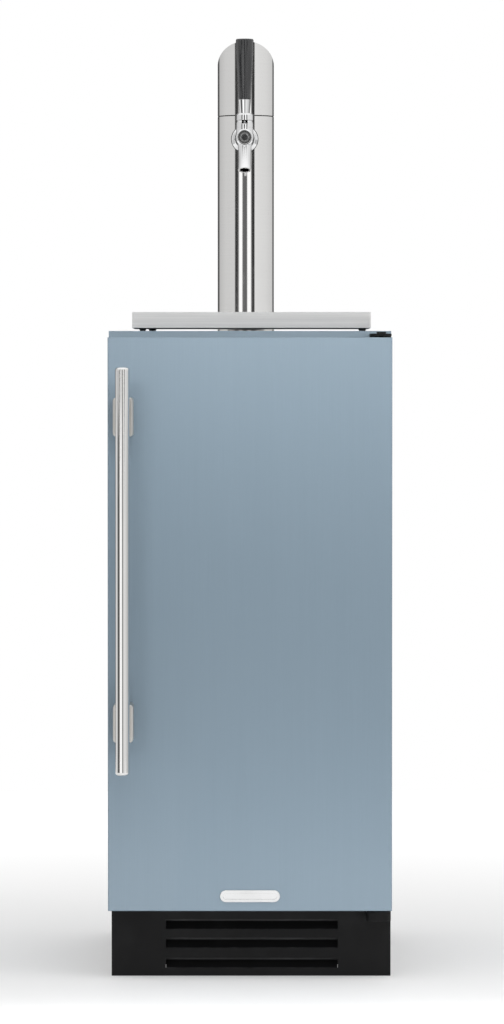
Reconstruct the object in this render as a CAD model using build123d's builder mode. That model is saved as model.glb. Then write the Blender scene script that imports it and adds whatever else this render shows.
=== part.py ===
"""Fifteen-inch undercounter keg refrigerator with a single-faucet beer tower.

Millimetres, +Z up.  The origin is on the floor under the middle of the whole
object; the door faces -Y and hangs on its right-hand (+X) edge.
"""
import os
from math import cos, radians, sin, tan

from build123d import *

# ---------------------------------------------------------------- driving sizes
WIDTH = 378.0            # cabinet and door
TOP = 867.0              # top surface of the cabinet
REAR = 335.0             # rear face
DOOR_FRONT = -275.0      # front face of the door
DOOR_THICK = 52.0
DOOR_LOW, DOOR_HIGH = 95.0, 858.0
FACE = -217.0            # front face of the cabinet body
SHEET = 1.2              # painted steel sheet
SKIN = 1.0               # inner sheet
GAP = 0.2                # assembly gap between neighbouring pieces

# Keg compartment: the clear space inside the liner.
BAY_HALF = 153.0
BAY_FLOOR, BAY_TOP = 138.0, 826.0
BAY_REAR = 292.0
STEP_Y, STEP_Z = 100.0, 342.0        # hump over the machine compartment

# Machine compartment under the hump.
MACHINE_FRONT, MACHINE_TOP = 141.0, 300.0
BASE_LOW, BASE_HIGH = 14.0, 94.6
BASE_LEFT, BASE_RIGHT = -185.0, 188.0
TOE_Y = -205.0
TOE_LOW = 0.5

# Door hinge line.
HINGE_X, HINGE_Y = 175.0, -247.0
PIN_R = 4.0
RUN = 0.05               # radial running clearance

# Beer tower and faucet.
TOWER_X = -5.8
TAP_X = -7.2             # the faucet sits a hair left of the tower's middle
TOWER_Y = 15.0
TOWER_R = 38.8
TOWER_WALL = 1.5
CAP_JOINT, CAP_GAP = 1166.0, 1.4
TOWER_SIDE_TOP = 1235.2
TOWER_SLOPE = 39.6       # degrees that the top is cut, high at the front
SHANK_Z = 1131.9
SHANK_R = 11.0

half = WIDTH / 2
door_back = DOOR_FRONT + DOOR_THICK
tower_front = TOWER_Y - TOWER_R


# ---------------------------------------------------------------- small helpers
def block(x, y, z, mode=Mode.ADD):
    """A box from its low and high limits along each axis."""
    with Locations(((x[0] + x[1]) / 2, (y[0] + y[1]) / 2, (z[0] + z[1]) / 2)):
        Box(x[1] - x[0], y[1] - y[0], z[1] - z[0], mode=mode)


def upright(x, y, z, radius, mode=Mode.ADD):
    """A vertical cylinder from z[0] to z[1]."""
    with Locations((x, y, (z[0] + z[1]) / 2)):
        Cylinder(radius, z[1] - z[0], mode=mode)


def across(x, y, z, radius, mode=Mode.ADD):
    """A cylinder lying along X from x[0] to x[1]."""
    with Locations(((x[0] + x[1]) / 2, y, z)):
        Cylinder(radius, x[1] - x[0], rotation=(0, 90, 0), mode=mode)


def forward(x, y, z, radius, mode=Mode.ADD):
    """A cylinder lying along Y from y[0] to y[1]."""
    with Locations((x, (y[0] + y[1]) / 2, z)):
        Cylinder(radius, y[1] - y[0], rotation=(90, 0, 0), mode=mode)


def save(piece, name):
    """Labels a finished piece and writes it as one STEP file."""
    piece.part.label = name
    export_step(piece.part, f"parts/{name}.step")


def tube_along(points, radii, outer, inner=0.0):
    """A round tube swept along straight runs joined by tangent arcs."""
    with BuildPart() as tube:
        with BuildLine() as path:
            FilletPolyline(*points, radius=radii)
        start = path.line @ 0
        with BuildSketch(Plane(origin=start, z_dir=path.line % 0)):
            Circle(outer)
            if inner:
                Circle(inner, mode=Mode.SUBTRACT)
        sweep(path=path.line)
    return tube


os.makedirs("parts", exist_ok=True)

# ---------------------------------------------------------------- cabinet shell
with BuildPart() as side_panels:
    for side in (-1, 1):
        with BuildSketch(Plane.XY.offset(DOOR_LOW)):
            with BuildLine():
                edge = side * half
                inner = side * (half - SHEET)
                hem = side * (half - 16)
                Polyline(
                    (edge, FACE + SHEET + GAP), (edge, REAR - SHEET), (hem, REAR - SHEET),
                    (hem, REAR - 2 * SHEET), (inner, REAR - 2 * SHEET),
                    (inner, FACE + SHEET + GAP), close=True)
            make_face()
        extrude(amount=TOP - SHEET - GAP - DOOR_LOW)
save(side_panels, "side_panels")

# The rear panel stops above the service cover.
with BuildPart() as rear_panel:
    block((-half, half), (REAR - SHEET + 0.1, REAR), (MACHINE_TOP, TOP - SHEET - GAP))
    for z in (TOP - 30, MACHINE_TOP + 12):
        with BuildSketch(Plane.XZ.offset(-REAR)):
            with Locations((-half + 8, z), (half - 8, z)):
                Circle(1.8)
        extrude(amount=2 * SHEET, both=True, mode=Mode.SUBTRACT)
save(rear_panel, "rear_panel")

# Face frame: the flat steel ring round the door opening, and the strip above the door.
with BuildPart() as face_frame:
    with BuildSketch(Plane.XZ.offset(-FACE)):
        with Locations((0, (DOOR_LOW + TOP) / 2)):
            Rectangle(WIDTH, TOP - DOOR_LOW)
        with Locations((0, (BAY_FLOOR + BAY_TOP) / 2)):
            Rectangle(2 * BAY_HALF, BAY_TOP - BAY_FLOOR, mode=Mode.SUBTRACT)
    extrude(amount=-SHEET)
save(face_frame, "face_frame")

TOWER_HOLE_R = 30.0
TOWER_BOLT_PCD = 58.0
BOLT_R = 2.5
with BuildPart() as top_panel:
    block((-half, half), (FACE + SHEET + GAP, REAR), (TOP - SHEET, TOP))
    with BuildSketch(Plane.XY.offset(TOP)):
        with Locations((TOWER_X, TOWER_Y)):
            Circle(TOWER_HOLE_R - 8)
            with PolarLocations(TOWER_BOLT_PCD / 2, 4, start_angle=45):
                Circle(BOLT_R + 0.2)
    extrude(amount=-2 * SHEET, mode=Mode.SUBTRACT)
save(top_panel, "top_panel")

# Foamed walls as slabs: left, right, floor, riser, step, back and roof.
foam_side = (BAY_HALF + SKIN + GAP, half - SHEET - GAP)
foam_front = FACE + SHEET + GAP
foam_rear = REAR - 2 * SHEET - GAP
foam_top = TOP - SHEET - GAP
foam_low = DOOR_LOW + SHEET + GAP
core = (-foam_side[0], foam_side[0])
step_low = MACHINE_TOP + SHEET
with BuildPart() as insulation:
    for side in (-1, 1):
        wall = tuple(sorted((side * foam_side[0], side * foam_side[1])))
        block(wall, (foam_front, MACHINE_FRONT), (foam_low, foam_top))
        block(wall, (MACHINE_FRONT + SHEET + GAP, foam_rear), (step_low + GAP, foam_top))
    block(core, (foam_front, MACHINE_FRONT), (foam_low, BAY_FLOOR - SKIN - GAP))
    block(core, (STEP_Y + SKIN + GAP, MACHINE_FRONT), (BAY_FLOOR - SKIN + GAP, MACHINE_TOP))
    block(core, (MACHINE_FRONT + SHEET + GAP, BAY_REAR), (step_low + GAP, STEP_Z - SKIN - GAP))
    block(core, (BAY_REAR + SKIN + GAP, foam_rear), (step_low + GAP, foam_top))
    block(core, (foam_front, BAY_REAR), (BAY_TOP + SKIN + GAP, foam_top))
    upright(TOWER_X, TOWER_Y, (BAY_TOP, TOP), TOWER_HOLE_R, mode=Mode.SUBTRACT)
save(insulation, "insulation")

# Bent sheet that floors the keg bay and roofs the machine compartment.
with BuildPart() as bay_underpan:
    with BuildSketch(Plane.YZ.offset(-BAY_HALF - 30)):
        with BuildLine():
            Polyline(
                (foam_front, DOOR_LOW), (MACHINE_FRONT + SHEET, DOOR_LOW),
                (MACHINE_FRONT + SHEET, MACHINE_TOP), (foam_rear, MACHINE_TOP),
                (foam_rear, step_low), (MACHINE_FRONT + GAP, step_low),
                (MACHINE_FRONT + GAP, DOOR_LOW + SHEET), (foam_front, DOOR_LOW + SHEET),
                close=True)
        make_face()
    extrude(amount=2 * (BAY_HALF + 30))
save(bay_underpan, "bay_underpan")

# One-piece liner, open at the front, with the drip-line hole in its roof.
bay_outline = (
    (FACE, BAY_FLOOR), (STEP_Y, BAY_FLOOR), (STEP_Y, STEP_Z),
    (BAY_REAR, STEP_Z), (BAY_REAR, BAY_TOP), (FACE, BAY_TOP))
with BuildPart() as liner:
    with BuildSketch(Plane.YZ.offset(-BAY_HALF - SKIN)):
        with BuildLine():
            Polyline(
                (FACE, BAY_FLOOR - SKIN), (STEP_Y + SKIN, BAY_FLOOR - SKIN),
                (STEP_Y + SKIN, STEP_Z - SKIN), (BAY_REAR + SKIN, STEP_Z - SKIN),
                (BAY_REAR + SKIN, BAY_TOP + SKIN), (FACE, BAY_TOP + SKIN), close=True)
        make_face()
    extrude(amount=2 * (BAY_HALF + SKIN))
    with BuildSketch(Plane.YZ.offset(-BAY_HALF)):
        with BuildLine():
            Polyline(*bay_outline, close=True)
        make_face()
    extrude(amount=2 * BAY_HALF, mode=Mode.SUBTRACT)
    upright(TOWER_X, TOWER_Y, (BAY_TOP - 5, BAY_TOP + 5), TOWER_HOLE_R - 8, mode=Mode.SUBTRACT)
    # the face frame's thickness is kept clear at the mouth
    block((-half, half), (FACE - 1, FACE + SHEET + GAP), (0, TOP), mode=Mode.SUBTRACT)
save(liner, "bay_liner")

# ---------------------------------------------------------------- base and feet
FOOT_X, FOOT_FRONT, FOOT_REAR = 150.0, -170.0, 295.0
FOOT_STEM_R = 5.0
SLOT_X = (-113.2, 118.2)
with BuildPart() as base_pan:
    block((BASE_LEFT, BASE_RIGHT), (TOE_Y + 2 * SHEET, REAR - 4), (BASE_LOW, BASE_HIGH))
    block((BASE_LEFT + 2, BASE_RIGHT - 2), (TOE_Y, REAR), (BASE_LOW + 2, BASE_HIGH + 1),
          mode=Mode.SUBTRACT)
    with BuildSketch(Plane.XY.offset(BASE_LOW)):
        with Locations(*[(x, y) for x in (-FOOT_X, FOOT_X) for y in (FOOT_FRONT, FOOT_REAR)]):
            Circle(FOOT_STEM_R + RUN)
    extrude(amount=2, mode=Mode.SUBTRACT)
    # notch for the lowest lip of the toe kick
    block((SLOT_X[0] - 1, SLOT_X[1] + 1), (TOE_Y, TOE_Y + 16), (BASE_LOW - 1, BASE_LOW + 3),
          mode=Mode.SUBTRACT)
save(base_pan, "base_pan")

for side, x in (("left", -FOOT_X), ("right", FOOT_X)):
    with BuildPart() as foot:
        upright(x, FOOT_FRONT, (0, 9), 19)
        fillet(foot.edges().group_by(Axis.Z)[-1], 3)
        with BuildSketch(Plane.XY.offset(9)):
            with Locations((x, FOOT_FRONT)):
                RegularPolygon(9, 6)
        extrude(amount=3.5)
        upright(x, FOOT_FRONT, (12, 56), FOOT_STEM_R)
    save(foot, f"levelling_foot_{side}")

# The rear feet are plain glides, pushed up into the pan.
with BuildPart() as rear_feet:
    for x in (-FOOT_X, FOOT_X):
        upright(x, FOOT_REAR, (0, BASE_LOW), 15)
        upright(x, FOOT_REAR, (BASE_LOW, 24), FOOT_STEM_R)
    fillet(rear_feet.edges().group_by(Axis.Z)[0], 2)
save(rear_feet, "rear_feet")

# Louvred toe kick: three long slots, each with a lip bent inwards below it.
SLOT_Z = ((63.5, 76.5), (38.2, 51.6), (11.2, 24.4))
toe = (TOE_Y, TOE_Y + 2 * SHEET)
with BuildPart() as toe_kick:
    block((BASE_LEFT - 1, BASE_RIGHT + 1), toe, (TOE_LOW, BASE_HIGH))
    for low, high in SLOT_Z:
        block(SLOT_X, (toe[0] - 1, toe[1] + 1), (low, high), mode=Mode.SUBTRACT)
    block((BASE_LEFT - 2, -144), (toe[0] - 1, toe[1] + 1), (89.5, BASE_HIGH + 1),
          mode=Mode.SUBTRACT)
    for low, high in SLOT_Z:
        with BuildSketch(Plane.YZ.offset(SLOT_X[0] + 0.5)):
            with BuildLine():
                Polyline(
                    (toe[1] - 0.6, low - 1), (toe[1] + 12, low + 8), (toe[1] + 12, low + 9.2),
                    (toe[1] - 0.6, low + 0.2), close=True)
            make_face()
        extrude(amount=SLOT_X[1] - SLOT_X[0] - 1)
save(toe_kick, "toe_kick_grille")

# ---------------------------------------------------------------- door
BUSH_R = PIN_R + 3
BUSH_DEEP = 16.0
with BuildPart() as door_skin:
    block((-half, half), (DOOR_FRONT, door_back - 2), (DOOR_LOW, DOOR_HIGH))
    front = door_skin.faces().sort_by(Axis.Y)[0]
    fillet(front.edges(), 1.6)
    block((-half + SHEET, half - SHEET), (DOOR_FRONT + SHEET, door_back),
          (DOOR_LOW + SHEET, DOOR_HIGH - SHEET), mode=Mode.SUBTRACT)
    upright(HINGE_X, HINGE_Y, (DOOR_LOW - 5, DOOR_HIGH + 5), BUSH_R, mode=Mode.SUBTRACT)
save(door_skin, "door_skin")

with BuildPart() as door_foam:
    block((-half + SHEET + GAP, half - SHEET - GAP),
          (DOOR_FRONT + SHEET + GAP, door_back - 2 - GAP),
          (DOOR_LOW + SHEET + GAP, DOOR_HIGH - SHEET - GAP))
    for z in ((DOOR_LOW, DOOR_LOW + BUSH_DEEP + 1), (DOOR_HIGH - BUSH_DEEP - 1, DOOR_HIGH)):
        upright(HINGE_X, HINGE_Y, z, BUSH_R + GAP, mode=Mode.SUBTRACT)
save(door_foam, "door_insulation")

# Inner door panel, its rim raised round a shallow field.
with BuildPart() as door_liner:
    block((-half + 4, half - 4), (door_back - 2, door_back),
          (DOOR_LOW + 4, DOOR_HIGH - 4))
    block((-BAY_HALF + 16, BAY_HALF - 16), (door_back - 0.5, door_back + 8),
          (BAY_FLOOR + 16, BAY_TOP - 16))
    fillet(door_liner.faces().sort_by(Axis.Y)[-1].edges(), 3)
    block((-BAY_HALF + 30, BAY_HALF - 30), (door_back + 2, door_back + 9),
          (BAY_FLOOR + 30, BAY_TOP - 30), mode=Mode.SUBTRACT)
save(door_liner, "door_inner_panel")

# Magnetic gasket: a hollow ring between the inner panel and the face frame.
with BuildPart() as gasket:
    with BuildSketch(Plane.XZ.offset(-door_back - GAP)):
        with Locations((0, (BAY_FLOOR + BAY_TOP) / 2)):
            RectangleRounded(2 * BAY_HALF + 30, BAY_TOP - BAY_FLOOR + 30, 8)
            RectangleRounded(2 * BAY_HALF, BAY_TOP - BAY_FLOOR, 3, mode=Mode.SUBTRACT)
    extrude(amount=-(FACE - door_back - 2 * GAP - 0.1))
    outer_rim = gasket.faces().sort_by(Axis.Y)[-1].outer_wire().edges()
    fillet(outer_rim, 1.5)
save(gasket, "door_gasket")

with BuildPart() as hinge_bushes:
    for z in ((DOOR_LOW, DOOR_LOW + BUSH_DEEP), (DOOR_HIGH - BUSH_DEEP, DOOR_HIGH)):
        upright(HINGE_X, HINGE_Y, z, BUSH_R - 0.05)
        upright(HINGE_X, HINGE_Y, (z[0] - 1, z[1] + 1), PIN_R + RUN, mode=Mode.SUBTRACT)
save(hinge_bushes, "door_hinge_bushes")

# Hinges: a plate over the door, its foot screwed to the face frame, and a block
# under the door.  Each carries its riveted pin.
PLATE_X = (160.0, 188.6)
with BuildPart() as door_hinges:
    block(PLATE_X, (HINGE_Y - 13, FACE - 0.1), (DOOR_HIGH + 2, DOOR_HIGH + 5))
    fillet(door_hinges.edges().filter_by(Axis.Z).group_by(Axis.Y)[0], 9)
    block(PLATE_X, (FACE - 2, FACE - 0.1), (DOOR_HIGH - 12, DOOR_HIGH + 5))
    upright(HINGE_X, HINGE_Y, (DOOR_HIGH - BUSH_DEEP + 2, DOOR_HIGH + 5), PIN_R)
    upright(HINGE_X, HINGE_Y, (DOOR_HIGH + 5, DOOR_HIGH + 7.5), PIN_R + 2.5)
    with BuildPart(mode=Mode.PRIVATE) as lower_hinge:
        block((156, BASE_RIGHT), (HINGE_Y - 15, TOE_Y - 0.2), (DOOR_LOW - 15, DOOR_LOW - 3))
        fillet(lower_hinge.edges().filter_by(Axis.Z).group_by(Axis.Y)[0], 9)
        upright(HINGE_X, HINGE_Y, (DOOR_LOW - 3, DOOR_LOW + BUSH_DEEP - 2), PIN_R)
        upright(HINGE_X, HINGE_Y, (DOOR_LOW - 3, DOOR_LOW - 0.5), PIN_R + 4)
    add(lower_hinge.part)
save(door_hinges, "door_hinges")

# Handle: a round bar carried on two stand-off blocks.
BAR_R = 9.6
BAR_X, BAR_Y = -167.9, -325.4
BAR_Z = (279.6, 818.0)
POST_X = (-180.8, -154.0)
POST_Z = ((322.5, 373.5), (726.6, 778.5))
with BuildPart() as handle_bar:
    upright(BAR_X, BAR_Y, BAR_Z, BAR_R)
    fillet(handle_bar.edges().filter_by(GeomType.CIRCLE), 4)
save(handle_bar, "door_handle_bar")
with BuildPart() as handle_posts:
    for low, high in POST_Z:
        with BuildSketch(Plane.XZ.offset(-DOOR_FRONT)):
            with Locations((sum(POST_X) / 2, (low + high) / 2)):
                RectangleRounded(POST_X[1] - POST_X[0], high - low, 5)
        extrude(amount=DOOR_FRONT - BAR_Y - 1)
    fillet(handle_posts.edges().filter_by(Plane.XZ).group_by(Axis.Y)[0], 2.5)
    upright(BAR_X, BAR_Y, (BAR_Z[0] - 5, BAR_Z[1] + 5), BAR_R + 0.03, mode=Mode.SUBTRACT)
save(handle_posts, "door_handle_posts")

# Plain badge plate: an unmarked pill with a raised rim.
with BuildPart() as badge:
    with BuildSketch(Plane.XZ.offset(-DOOR_FRONT)):
        with Locations((0, 115)):
            SlotOverall(80, 16)
    extrude(amount=2.6)
    chamfer(badge.faces().sort_by(Axis.Y)[0].edges(), 0.8)
    with BuildSketch(Plane.XZ.offset(-DOOR_FRONT + 2.6)):
        with Locations((0, 115)):
            SlotOverall(72, 8)
    extrude(amount=-0.8, mode=Mode.SUBTRACT)
save(badge, "door_badge")

# ---------------------------------------------------------------- machine compartment
COMPRESSOR = (-62.0, 238.0)
pan_top = BASE_LOW + 2
with BuildPart() as compressor:
    upright(*COMPRESSOR, (24, 176), 74)
    fillet(compressor.edges().group_by(Axis.Z)[-1], 30)
    fillet(compressor.edges().group_by(Axis.Z)[0], 12)
    block((-140, 16), (176, 300), (21, 24.5))
    for x in (-130, 6):
        for y in (186, 290):
            upright(x, y, (pan_top + 0.05, 21), 9)
    block((-100, -20), (156, 172), (70, 120))
save(compressor, "compressor")

# Finned condenser standing on two end plates.
COIL_X = (124.0, 160.0)
COIL_Y = (165.0, 318.0)
COIL_Z = (62.0, 262.0)
coil_mid = sum(COIL_X) / 2
with BuildPart() as condenser:
    for i in range(16):
        y = COIL_Y[0] + 1 + i * 10
        block(COIL_X, (y, y + 0.8), COIL_Z)
    for y in COIL_Y:
        block(COIL_X, (y - 1, y + 1), (pan_top + 0.05, COIL_Z[1]))
    for i in range(7):
        z = COIL_Z[0] + 14 + i * 28
        forward(coil_mid, (COIL_Y[0] - 7, COIL_Y[1]), z, 3.5)
    upright(coil_mid, COIL_Y[0] - 7, (COIL_Z[0] + 10, COIL_Z[1]), 5)
save(condenser, "condenser")

COND_FAN = (241.0, 162.0)            # y, z of its axis
COND_FAN_R = 68.0
SHROUD_X = (104.0, 106.0)
with BuildPart() as shroud:
    block(SHROUD_X, COIL_Y, (pan_top + 0.05, COIL_Z[1]))
    across(SHROUD_X, *COND_FAN, COND_FAN_R + 5, mode=Mode.SUBTRACT)
    block(SHROUD_X, (COND_FAN[0] - 4, COND_FAN[0] + 4), (COND_FAN[1] - 76, COND_FAN[1] + 76))
    block(SHROUD_X, (COND_FAN[0] - 76, COND_FAN[0] + 76), (COND_FAN[1] - 4, COND_FAN[1] + 4))
    across(SHROUD_X, *COND_FAN, 21)
    across(SHROUD_X, *COND_FAN, 4.5, mode=Mode.SUBTRACT)
save(shroud, "condenser_fan_shroud")

EVAP_FAN = (85.0, 690.0)             # x, z of its axis
EVAP_FAN_R = 48.0
with BuildPart() as fan_motors:
    across((82, SHROUD_X[0] - 0.05), *COND_FAN, 20)
    across((SHROUD_X[0] - 0.05, 114), *COND_FAN, 2.5)
    forward(EVAP_FAN[0], (269, BAY_REAR - 0.1), EVAP_FAN[1], 20)
    forward(EVAP_FAN[0], (258, 269), EVAP_FAN[1], 2.5)
save(fan_motors, "fan_motors")


def fan(blade_count, radius, hub_r, depth):
    """A fan rotor at the origin, turning about Z, its bore open at the bottom."""
    with BuildPart() as rotor:
        Cylinder(hub_r, depth)
        for i in range(blade_count):
            with Locations(Location((0, 0, 0), (0, 0, 360 * i / blade_count))):
                with Locations(Location(((radius + hub_r) / 2 - 1, 0, 0), (24, 0, 0))):
                    Box(radius - hub_r + 2, radius * 0.48, 1.4)
        Cylinder(radius, 4 * depth, mode=Mode.INTERSECT)
        with Locations((0, 0, -depth / 2)):
            Cylinder(2.5 + RUN, depth * 1.4, mode=Mode.SUBTRACT)
    return rotor


for name, place, size in (
        ("condenser_fan_blades", Location((114, *COND_FAN), (0, 90, 0)), (5, COND_FAN_R, 17, 12)),
        ("evaporator_fan_blades", Location((EVAP_FAN[0], 260, EVAP_FAN[1]), (90, 0, 0)),
         (6, EVAP_FAN_R, 14, 10))):
    rotor = fan(*size)
    moved = rotor.part.moved(place)
    moved.label = name
    export_step(moved, f"parts/{name}.step")

# Copper pipework: discharge, liquid line with its drier, capillary and suction line.
PIPE_R = 3.0
header_y = COIL_Y[0] - 7
DRIER = (158.0, 40.0)
pipes = [
    tube_along([(13, 238, 100), (45, 238, 100), (45, 238, 282), (45, header_y, 282),
                (coil_mid, header_y, 282), (coil_mid, header_y, COIL_Z[1] + 0.1)], 9, PIPE_R),
    tube_along([(coil_mid, header_y, COIL_Z[0] + 9.9), (coil_mid, header_y, DRIER[1]),
                (60.1, header_y, DRIER[1])], 12, PIPE_R),
    tube_along([(14.9, DRIER[0], DRIER[1]), (-14, DRIER[0], DRIER[1]),
                (-14, 150, 280), (-14, 150, 299)], 8, 1.6),
    tube_along([(-137, 238, 120), (-162, 238, 120), (-162, 238, 299)], 14, 4.0),
]
with BuildPart() as pipework:
    for pipe in pipes:
        add(pipe.part)
    across((15, 60), *DRIER, 9)
    with BuildPart(mode=Mode.PRIVATE) as shell_space:
        upright(*COMPRESSOR, (24, 176), 74.1)
    add(shell_space.part, mode=Mode.SUBTRACT)
save(pipework, "refrigerant_pipes")

# Rear service cover with two banks of vents, and the mains inlet in its corner.
INLET = (-120.0, 56.0)
with BuildPart() as rear_cover:
    block((-half + 2, half - 2), (REAR - SHEET + 0.1, REAR), (20, MACHINE_TOP - 1))
    with BuildSketch(Plane.XZ.offset(-REAR)):
        for x in (-85, 85):
            for i in range(12):
                with Locations((x, 120 + i * 13)):
                    SlotOverall(120, 5)
        with Locations(INLET):
            Rectangle(28.4, 20.4)
    extrude(amount=2 * SHEET, both=True, mode=Mode.SUBTRACT)
save(rear_cover, "rear_service_cover")

with BuildPart() as inlet:
    block((INLET[0] - 14, INLET[0] + 14), (REAR - 22, REAR), (INLET[1] - 10, INLET[1] + 10))
    block((INLET[0] - 20, INLET[0] + 20), (REAR - 6, REAR - SHEET), (INLET[1] - 13, INLET[1] + 13))
    block((INLET[0] - 12, INLET[0] + 12), (REAR - 17, REAR + 1), (INLET[1] - 8, INLET[1] + 8),
          mode=Mode.SUBTRACT)
    for dx in (-7, 0, 7):
        block((INLET[0] + dx - 1, INLET[0] + dx + 1), (REAR - 18, REAR - 4),
              (INLET[1] - 2.5, INLET[1] + 2.5))
save(inlet, "mains_inlet")

# ---------------------------------------------------------------- keg bay fittings
COVER_X, COVER_Z = (-140.0, 145.0), (560.0, 812.0)
COVER_Y = (246.0, BAY_REAR - 0.1)
with BuildPart() as evaporator_cover:
    block(COVER_X, COVER_Y, COVER_Z)
    fillet(evaporator_cover.edges().filter_by(Axis.Z).group_by(Axis.Y)[0], 6)
    block((COVER_X[0] + 1.5, COVER_X[1] - 1.5), (COVER_Y[0] + 1.5, COVER_Y[1] + 1),
          (COVER_Z[0] + 1.5, COVER_Z[1] - 1.5), mode=Mode.SUBTRACT)
    with BuildSketch(Plane.XZ.offset(-COVER_Y[0])):
        for r in (12, 22, 32, 42, 52):
            with Locations(EVAP_FAN):
                Circle(r)
                Circle(r - 6, mode=Mode.SUBTRACT)
        with Locations(EVAP_FAN):
            Rectangle(120, 3, mode=Mode.SUBTRACT)
            Rectangle(3, 120, mode=Mode.SUBTRACT)
        for i in range(9):
            with Locations((-120 + i * 14, 600)):
                SlotOverall(50, 5, rotation=90)
    extrude(amount=-1.5, mode=Mode.SUBTRACT)
save(evaporator_cover, "evaporator_cover")

with BuildPart() as evaporator:
    for i in range(13):
        block((-130 + i * 11, -129.2 + i * 11), (254, 286), (640, 800))
    for z in (660, 700, 740, 780):
        for y in (262, 278):
            across((-134, 8), y, z, 4)
    block((-134, -132), (252, 288), (632, 804))
    block((6, 8), (252, 288), (632, 804))
save(evaporator, "evaporator_coil")

# Control box on the roof, with a display window and two push buttons.
CONTROL_X, CONTROL_Y = (40.0, 130.0), (-200.0, -150.0)
CONTROL_Z = (798.0, BAY_TOP - 0.1)
BUTTONS = {"button_colder": 98.0, "button_warmer": 116.0}
BUTTON_Z, BUTTON_R = 811.0, 5.0
with BuildPart() as control_box:
    block(CONTROL_X, CONTROL_Y, CONTROL_Z)
    fillet(control_box.edges().filter_by(Axis.X).group_by(Axis.Z)[0], 4)
    block((46, 84), (CONTROL_Y[0] - 1, CONTROL_Y[0] + 1), (803, 819), mode=Mode.SUBTRACT)
    for x in BUTTONS.values():
        forward(x, (CONTROL_Y[0] - 1, CONTROL_Y[0] + 12), BUTTON_Z, BUTTON_R + 0.3,
                mode=Mode.SUBTRACT)
save(control_box, "control_box")
for name, x in BUTTONS.items():
    with BuildPart() as button:
        forward(x, (CONTROL_Y[0] - 2.5, CONTROL_Y[0] + 9), BUTTON_Z, BUTTON_R)
        fillet(button.edges().group_by(Axis.Y)[0], 1)
    save(button, name)

# Gas cylinder, hollow, standing on the hump.
GAS = (-78.0, 175.0)
GAS_R = 65.0
gas_floor = STEP_Z + 0.3
with BuildPart() as gas_cylinder:
    with BuildSketch(Plane((*GAS, 0), x_dir=(1, 0, 0), z_dir=(0, -1, 0))):
        with BuildLine():
            Line((0, gas_floor), (GAS_R - 6, gas_floor))
            ThreePointArc((GAS_R - 6, gas_floor), (GAS_R - 1.8, gas_floor + 1.8),
                          (GAS_R, gas_floor + 6))
            Line((GAS_R, gas_floor + 6), (GAS_R, 650))
            ThreePointArc((GAS_R, 650), (48, 682), (18, 695))
            Polyline((18, 695), (14, 697), (14, 708), (5, 708), (5, 690))
            ThreePointArc((5, 690), (42, 678), (GAS_R - 5, 648))
            Polyline((GAS_R - 5, 648), (GAS_R - 5, gas_floor + 8), (0, gas_floor + 8),
                     (0, gas_floor))
        make_face()
    revolve(axis=Axis((GAS[0], GAS[1], 0), (0, 0, 1)))
save(gas_cylinder, "gas_cylinder")

REG_X, REG_Z = 0.0, 733.0
with BuildPart() as cylinder_valve:
    upright(*GAS, (708.1, 752), 13)
    across((GAS[0], REG_X - 46), GAS[1], REG_Z, 9)
    upright(*GAS, (744, 753), 4 + RUN, mode=Mode.SUBTRACT)
save(cylinder_valve, "cylinder_valve")
with BuildPart() as handwheel:
    upright(*GAS, (744.2, 758), 4)
    with BuildSketch(Plane.XY.offset(756)):
        with Locations(GAS):
            Circle(24)
            with PolarLocations(25, 8):
                Circle(6, mode=Mode.SUBTRACT)
    extrude(amount=13)
    fillet(handwheel.edges().group_by(Axis.Z)[-1], 1.5)
save(handwheel, "cylinder_handwheel")

# Pressure regulator: inlet nut, body, two gauges, outlet valve and hose barb.
GAUGES = ((REG_X + 47, REG_Z), (REG_X, REG_Z + 51))
with BuildPart() as regulator:
    with BuildSketch(Plane.YZ.offset(REG_X - 45.9)):
        with Locations((GAS[1], REG_Z)):
            RegularPolygon(14, 6)
    extrude(amount=15)
    across((REG_X - 31, REG_X), GAS[1], REG_Z, 8)
    forward(REG_X, (152, 198), REG_Z, 22)
    fillet(regulator.edges().filter_by(GeomType.CIRCLE).group_by(Axis.Y)[-1], 4)
    across((REG_X, REG_X + 30), GAS[1], REG_Z, 6)
    upright(REG_X, GAS[1], (REG_Z, REG_Z + 34), 6)
    for x, z in GAUGES:
        forward(x, (160, 184), z, 20)
    upright(REG_X, GAS[1], (690, REG_Z), 8)
    upright(REG_X, GAS[1], (672, 690), 4.5)
    forward(REG_X, (157, GAS[1]), 700, 3.5)
    forward(REG_X, (140, 152), REG_Z, 3)
save(regulator, "gas_regulator")
with BuildPart() as regulator_knob:
    forward(REG_X, (122, 150), REG_Z, 15)
    fillet(regulator_knob.edges().group_by(Axis.Y)[0], 3)
    forward(REG_X, (138, 151), REG_Z, 3 + RUN, mode=Mode.SUBTRACT)
save(regulator_knob, "regulator_knob")
with BuildPart() as shutoff:
    forward(REG_X, (154, 161), 700, 7)
    block((REG_X, REG_X + 34), (154, 157), (696, 704))
    forward(REG_X, (156.5, 162), 700, 3.5 + RUN, mode=Mode.SUBTRACT)
save(shutoff, "gas_shutoff_lever")

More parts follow.
